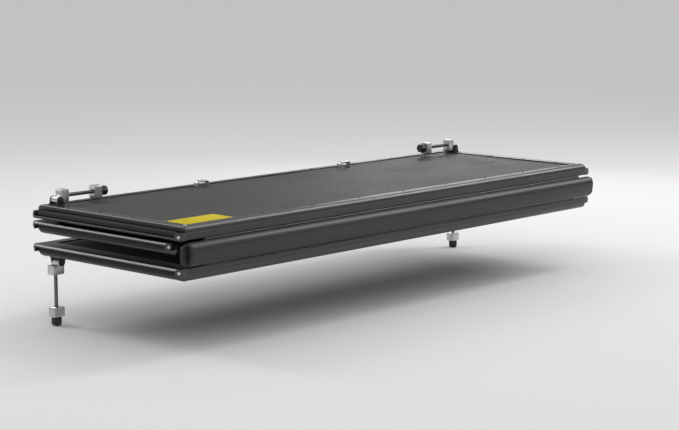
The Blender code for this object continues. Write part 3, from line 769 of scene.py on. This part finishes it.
def toothed(x, zTop, zLow):
    # A row of triangular teeth down a face at x: every second point is cut in by the tooth's depth.
    s = armSettings
    z = np.linspace(zTop, zLow, 2 * s["teeth"] + 1)
    bite = np.where(np.arange(len(z)) % 2 == 1, s["toothDepth"], 0.0)
    return np.stack([x - bite, z], axis=1)


def armShape(arm, spans):
    # An (x, z) outline: round lug about the pivot, up the neck to the fixed jaw, down its teeth and back.
    s, c = armSettings, clampSettings
    lug, reach, half = c["lug"], c["reach"], c["width"] / 2
    start, end, r, neck = s["start"], spans["arm"][1], s["corner"], s["neck"]
    tip = r * s["tipShare"]
    outline = np.concatenate([arc((0, 0), lug, 270, 90, s["lugSteps"]), line((start - neck, lug)),
                              arc((start - neck, lug + neck), neck, 270, 360, s["neckSteps"]),
                              arc((start + r, reach - r), r, 180, 90, s["cornerSteps"]),
                              arc((end - tip, reach - tip), tip, 90, 0, s["tipSteps"]),
                              toothed(end, reach - s["teethTop"], s["teethLow"]),
                              arc((end - r, -lug + r), r, 0, -90, s["cornerSteps"])])
    return block(arm, outline, -half, half, c["ease"])


jawSettings = {"corner": 0.0035, "cornerSteps": 5, "hole": 0.0053, "teeth": 4, "teethLow": 0.0160,
               "teethTop": 0.0040, "toothHalf": 0.0011, "toothOut": 0.0009, "toothRoot": 0.0004,
               "toothWidth": 0.8, "toothEase": 0.0001}


def jawShapes(arm, spans):
    # A block round the rod: an outer rounded rectangle drawn down to the bore at each face. Its teeth are
    # three-sided bars on the gripping face.
    s, c = jawSettings, clampSettings
    start, end = spans["jaw"]
    half, low, high = c["width"] / 2, -c["lug"], c["reach"]
    outline = roundBox((-half, low), (half, high), s["corner"], s["cornerSteps"])
    centre = (0, c["rodHeight"])
    toward = outline - centre
    bore = toward / np.linalg.norm(toward, axis=1, keepdims=True) * s["hole"] + centre
    e, step = c["ease"], c["ease"] * c["easeStep"]
    rows = ((start, bore), (start, inset(outline, e)), (start + step, inset(outline, step)),
            (start + e, outline), (end - e, outline), (end - step, inset(outline, step)),
            (end, inset(outline, e)), (end, bore))
    shapes = [tube([placed(arm, atX(x, yz)) for x, yz in rows], loop=True)]
    wide, root = half * s["toothWidth"], start + s["toothRoot"]
    for z in np.linspace(s["teethLow"], high - s["teethTop"], s["teeth"]):
        tooth = line((root, z - s["toothHalf"]), (start - s["toothOut"], z), (root, z + s["toothHalf"]))
        shapes.append(block(arm, tooth, -wide, wide, s["toothEase"]))
    return shapes


rodSettings = {"radius": 0.005, "pitch": 0.0030, "threadDepth": 0.0007, "gap": 0.0002, "endLength": 0.0004,
               "endDrop": 0.0009, "rows": 300, "points": 18, "sharp": 60.0}


def rodShape(arm, spans):
    # Helical thread: radius falls by a triangle wave of the phase distance / pitch - angle.
    s = rodSettings
    start, end, step = spans["arm"][1] + s["gap"], spans["rod"][1], s["endLength"]
    distance = np.concatenate([[start], np.linspace(start + step, end - step, s["rows"]), [end]])
    radius = np.full(len(distance), s["radius"])
    radius[[0, -1]] -= s["endDrop"]

    def thread(theta, x):
        phase = (x / s["pitch"] - theta / (2 * np.pi)) % 1.0
        return s["threadDepth"] * np.abs(2 * phase - 1)

    profile = np.stack([distance, radius], axis=1)
    return turned(arm, profile, s["points"], xAxis, (0, clampSettings["rodHeight"]), thread)


# The knob's dish is given as depths below its end and shares of its radius
knobSettings = {"flutes": 6, "fluteDepth": 0.0016, "fluteStart": 0.4, "ease": 0.28, "easeSteps": 6,
                "hub": 0.2, "dish": ((0.0, 0.55), (0.0012, 0.48), (0.0012, 0.05)), "points": 72}


def knobShape(arm, spans):
    # Fluted grip: radius drops by a cosine of six times the angle, the ends round over on quarter circles,
    # and the outer face has a shallow dish.
    s = knobSettings
    start, end = spans["knob"]
    low, high = boxOf("middle_clamp_left_knob")  # all four are alike
    radius = (high - low)[1] / 2
    ease = radius * s["ease"]
    turn = quarter(s["easeSteps"])
    fromEnd, r = ease * (1 - np.sin(turn)), radius - ease + ease * np.cos(turn)
    xs, rs = np.concatenate([start + fromEnd[::-1], end - fromEnd]), np.concatenate([r[::-1], r])
    dish = [(end - depth, radius * share) for depth, share in s["dish"]]
    profile = np.concatenate([[(start, radius * s["hub"])], np.stack([xs, rs], axis=1), dish])

    def flute(theta, x):
        inside = np.clip(np.minimum(x - start, end - x) / ease + s["fluteStart"], 0, 1)
        return s["fluteDepth"] * inside * (1 - np.cos(s["flutes"] * theta)) / 2

    return turned(arm, profile, s["points"], xAxis, (0, clampSettings["rodHeight"]), flute)


# The pivot pin's head is given as heights above the ear and shares of the pin's radius
baseSettings = {"halfX": 0.012, "halfY": 0.020, "corner": 0.004, "cornerSteps": 6, "plate": 0.003,
                "rim": 0.001, "rimStep": 0.0003, "ear": 0.009, "earThick": 0.004, "earGap": 0.0005,
                "earFoot": 0.002, "earSink": 0.0008, "earEase": 0.0008, "earSteps": 20, "pin": 0.003,
                "pinStart": 0.0002, "pinHead": ((0.0, 1.6), (0.0012, 1.55), (0.0018, 1.2)), "pinPoints": 22,
                "screwX": 0.0085, "screwY": 0.0060, "screwRadius": 0.0024, "screwHeight": 0.0006}


def baseShapes(base):
    # A plate with rounded corners, two ears with round tops, and in each ear a stub of the pivot pin with a
    # head, turned about y.
    s = baseSettings
    bottom = -clampSettings["pivotHeight"]
    top = bottom + s["plate"]
    outline = roundBox((-s["halfX"], -s["halfY"]), (s["halfX"], s["halfY"]), s["corner"], s["cornerSteps"])
    rows = ((bottom, 0), (top - s["rim"], 0), (top - s["rimStep"], s["rimStep"]), (top, s["rim"]))
    shapes = [tube([placed(base, atZ(z, inset(outline, drawnIn))) for z, drawnIn in rows])]
    inner = clampSettings["width"] / 2 + s["earGap"]
    out = inner + s["earThick"]
    foot, sunk = s["ear"] + s["earFoot"], top - s["earSink"]
    ear = np.concatenate([line((foot, sunk)), arc((0, 0), s["ear"], 0, 180, s["earSteps"]),
                          line((-foot, sunk))])
    shapes.append(block(base, ear, inner, out, s["earEase"]))
    shapes.append(block(base, ear, -out, -inner, s["earEase"]))
    stub = [(inner + s["pinStart"], s["pin"]), (out - s["pinStart"], s["pin"])]
    stub += [(out + lift, s["pin"] * share) for lift, share in s["pinHead"]]
    for way in (-1, 1):
        shapes.append(turned(base, [(way * d, r) for d, r in stub], s["pinPoints"], yAxis, (0, 0)))
    return shapes


def baseScrews(base):
    # Four on the plate, between the ears.
    s = baseSettings
    top = -clampSettings["pivotHeight"] + s["plate"]
    corners = [(x, y, top) for x in (-s["screwX"], s["screwX"]) for y in (-s["screwY"], s["screwY"])]
    return [screwHead(spot, base[3], s["screwRadius"], s["screwHeight"]) for spot in placed(base, corners)]


for short, deployed in (("front", True), ("middle", False)):
    for side, word in sides:
        name, body = short + "_clamp_" + word, short + "_panel"
        base, arm = clampFrames(name, side, deployed)
        spans = clampSpans(name, arm)
        addPiece(camel(name) + "Base", baseShapes(base), "cap", body, [name + "_base"])
        addPiece(camel(name) + "Screws", baseScrews(base), "steel", body)
        addPiece(camel(name) + "Arm", [armShape(arm, spans)], "bright", name + "_arm", [name + "_arm"])
        addPiece(camel(name) + "Jaw", jawShapes(arm, spans), "bright", name + "_jaw", [name + "_jaw"])
        addPiece(camel(name) + "Rod", [rodShape(arm, spans)], "steel", name + "_screw", [name + "_rod"],
                 sharp=rodSettings["sharp"])
        addPiece(camel(name) + "Knob", [knobShape(arm, spans)], "cap", name + "_screw", [name + "_knob"])
print("clamps made")


# Strap loops: a flat bar with rounded edges bent into an arch

loopSettings = {"bar": 0.005, "square": 0.4, "points": 28, "bendSteps": 10}


def loopShape(node):
    # A superellipse section (u, v) carried along a path of two legs and two bends; v lies on the path's
    # normal and u along Y.
    s = loopSettings
    low, high = boxOf(node)
    middle, height = (low + high) / 2, high[2] - low[2]
    half, bar, r = (high[0] - low[0]) / 2, s["bar"] / 2, height / 2
    path = np.concatenate([line((half - bar, 0)),
                           arc((half - r, height - r), r - bar, 0, 90, s["bendSteps"]),
                           arc((r - half, height - r), r - bar, 90, 180, s["bendSteps"]),
                           line((bar - half, 0))])
    run = np.gradient(path, axis=0)
    run /= np.linalg.norm(run, axis=1, keepdims=True)
    normal = np.stack([run[:, 1], -run[:, 0]], axis=1)
    u, v = superellipse(s["points"], s["square"])
    u, v = u * (high[1] - low[1]) / 2, v * bar
    x = middle[0] + path[:, :1] + normal[:, :1] * v
    z = low[2] + path[:, 1:] + normal[:, 1:] * v
    return tube(np.stack(np.broadcast_arrays(x, middle[1] + u, z), axis=-1))


for word in ("left", "right"):
    node = "strap_loop_" + word
    addPiece(camel(node), [loopShape(node)], "bright", "middle_panel", [node])


# Patch: a film with rounded corners and a thin eased edge

patchSettings = {"corner": 0.007, "cornerSteps": 8, "ease": 0.0002, "rim": 0.0001}


def patchShape():
    # A rounded rectangle raised from its seat, drawn in at the top.
    s = patchSettings
    low, high = boxOf("yellow_patch")
    outline = roundBox(low, high, s["corner"], s["cornerSteps"])
    rows = ((low[2], 0), (high[2] - s["rim"], 0), (high[2], s["ease"]))
    return tube([atZ(z, inset(outline, drawnIn)) for z, drawnIn in rows])


addPiece("yellowPatch", [patchShape()], "yellow", "middle_panel", ["yellow_patch"])
print("loops and patch made")


# Panel screws: rows along the rails and one at each corner on the underside, and one on each end stop

frameScrew = {"inset": 0.0235, "fromSide": 0.10, "fromEdge": 0.09, "across": 9, "deep": 4, "radius": 0.0030,
              "height": 0.0013}
cornerScrew = {"fromSide": 0.016, "fromEdge": 0.021, "radius": 0.0042, "height": 0.0018}
stopScrew = {"radius": 0.0040, "height": 0.0016}


def underScrews(panel, spots, s):
    # Heads that stand on the underside at the given (x, y).
    normal = (0, 0, -panel["up"])
    return [screwHead(np.array([x, y, panel["under"]]), normal, s["radius"], s["height"]) for x, y in spots]


def frameScrews(panel):
    # Evenly spaced rows at one inset from all four edges.
    s = frameScrew
    half, rear, nose = panel["bodyHalf"], panel["rear"], panel["nose"]
    xs = np.linspace(-half + s["fromSide"], half - s["fromSide"], s["across"])
    ys = np.linspace(rear + s["fromEdge"], nose - s["fromEdge"], s["deep"])
    spots = [(x, y) for y in (rear + s["inset"], nose - s["inset"]) for x in xs]
    spots += [(x, y) for x in (s["inset"] - half, half - s["inset"]) for y in ys]
    return underScrews(panel, spots, s)


def cornerScrews(panel):
    # One in from each corner.
    s = cornerScrew
    half = panel["bodyHalf"] - s["fromSide"]
    ends = (panel["rear"] + s["fromEdge"], panel["nose"] - s["fromEdge"])
    return underScrews(panel, [(x, y) for x in (-half, half) for y in ends], s)


def stopScrews(panel):
    # One on the rounded corner of each end stop, square to the corner's own curve.
    s, r = stopScrew, panelSettings["edgeRadius"]
    k = math.sqrt(0.5)  # cosine and sine of 45 degrees
    x = panel["lipEdge"] - r + r * k
    z = panelZ(panel, (panelSettings["stopLow"] + panel["thick"]) / 2)
    ends = ((-1, panel["rear"] + r - r * k), (1, panel["nose"] - r + r * k))
    return [screwHead(np.array([side * x, y, z]), (side * k, way * k, 0), s["radius"], s["height"])
            for side in (-1, 1) for way, y in ends]


for name, panel in panels.items():
    addPiece(panel["short"] + "StopScrews", stopScrews(panel), "bright", name)
    addPiece(panel["short"] + "FrameScrews", frameScrews(panel), "cap", name)
    addPiece(panel["short"] + "CornerScrews", cornerScrews(panel), "bright", name)
print("screws made")


# Stage: a pale matte floor below the clamps, soft light all round, and four lamps

stageSettings = {"floor": 0.80, "floorHalf": 60, "floorGap": 0.002, "floorRough": 0.8, "horizon": 0.54,
                 "low": 0.18, "zenith": 0.76, "horizonBand": (0.0, 0.14), "zenithBand": (0.05, 0.7),
                 "lampAim": (0, 0, 0.06)}
lampSettings = {
    "rimLamp": {"place": (2.9, -0.85, 2.7), "power": 48.0, "wide": 0.6, "tall": 2.6},  # line on the rear rims
    "sideLamp": {"place": (-1.5, 2.8, 2.4), "power": 26.0, "wide": 0.8, "tall": 1.4},  # line on the side lips
    "sheenLamp": {"place": (2.3, 1.45, 0.85), "power": 5.5, "wide": 1.0, "tall": 0.5},  # the top's right side
    "fillLamp": {"place": (-2.6, -2.6, 2.8), "power": 14.0, "wide": 2.2, "tall": 2.2},  # the near faces
}


def makeFloor():
    # A square under the lowest point, matte so that it takes no glare from the lamps.
    s = stageSettings
    half, z = s["floorHalf"], min(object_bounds()[0][2], cadLow[2]) - s["floorGap"]
    mesh = bpy.data.meshes.new("floor")
    mesh.from_pydata([(-half, -half, z), (half, -half, z), (half, half, z), (-half, half, z)], [],
                     [(0, 1, 2, 3)])
    floor = addObject("floor", mesh)
    material = bpy.data.materials.new("floorPaint")
    material.use_nodes = True
    shader = material.node_tree.nodes["Principled BSDF"]
    shader.inputs["Base Color"].default_value = grey(s["floor"])
    shader.inputs["Roughness"].default_value = s["floorRough"]
    shader.inputs["Specular IOR Level"].default_value = 0.0
    mesh.materials.append(material)


def makeSky():
    # Strength by the height of the direction looked in: the floor's own tone at the horizon, dim just above
    # it and brighter overhead.
    s = stageSettings
    world = bpy.data.worlds.new("studio")
    bpy.context.scene.world = world
    world.use_nodes = True
    tree = world.node_tree
    wire = Wire(tree)
    direction = wire.add("ShaderNodeTexCoord", out="Generated")
    rise = wire.add("ShaderNodeSeparateXYZ", None, {"Vector": direction}, out="Z")
    level = (s["low"] + rise.band(*s["zenithBand"]) * (s["zenith"] - s["low"])
             + (1 - rise.band(*s["horizonBand"])) * (s["horizon"] - s["low"]))
    tree.links.new(level.socket, tree.nodes["Background"].inputs["Strength"])
    tree.nodes["Background"].inputs["Color"].default_value = grey(1)


def makeLamps():
    # Each lamp is a rectangle that faces the middle of the stack.
    for name, s in lampSettings.items():
        lamp = bpy.data.lights.new(name, "AREA")
        lamp.shape = "RECTANGLE"
        lamp.energy = s["power"]
        lamp.size, lamp.size_y = s["wide"], s["tall"]
        holder = addObject(name, lamp)
        holder.location = s["place"]
        toStack = Vector(stageSettings["lampAim"]) - Vector(s["place"])
        holder.rotation_euler = toStack.to_track_quat("-Z", "Y").to_euler()


cameraSettings = {"azimuth": -47.5, "elevation": 8.7, "distance": 4.95, "lens": 96.0, "sensor": 36.0,
                  "aim": (0.0, -0.02, 0.03), "clip": (0.05, 300.0)}


def makeCamera():
    # Stands back from the aim along (sin a cos e, -cos a cos e, sin e) and looks at it.
    s = cameraSettings
    a, e = math.radians(s["azimuth"]), math.radians(s["elevation"])
    back = Vector((math.sin(a) * math.cos(e), -math.cos(a) * math.cos(e), math.sin(e)))
    data = bpy.data.cameras.new("camera")
    data.lens = s["lens"]
    data.sensor_width = s["sensor"]
    data.clip_start, data.clip_end = s["clip"]
    camera = addObject("camera", data)
    camera.location = Vector(s["aim"]) + back * s["distance"]
    camera.rotation_euler = (-back).to_track_quat("-Z", "Y").to_euler()
    bpy.context.scene.camera = camera


makeFloor()
makeSky()
makeLamps()
makeCamera()
bpy.context.scene.view_settings.view_transform = "Standard"
print("stage made")
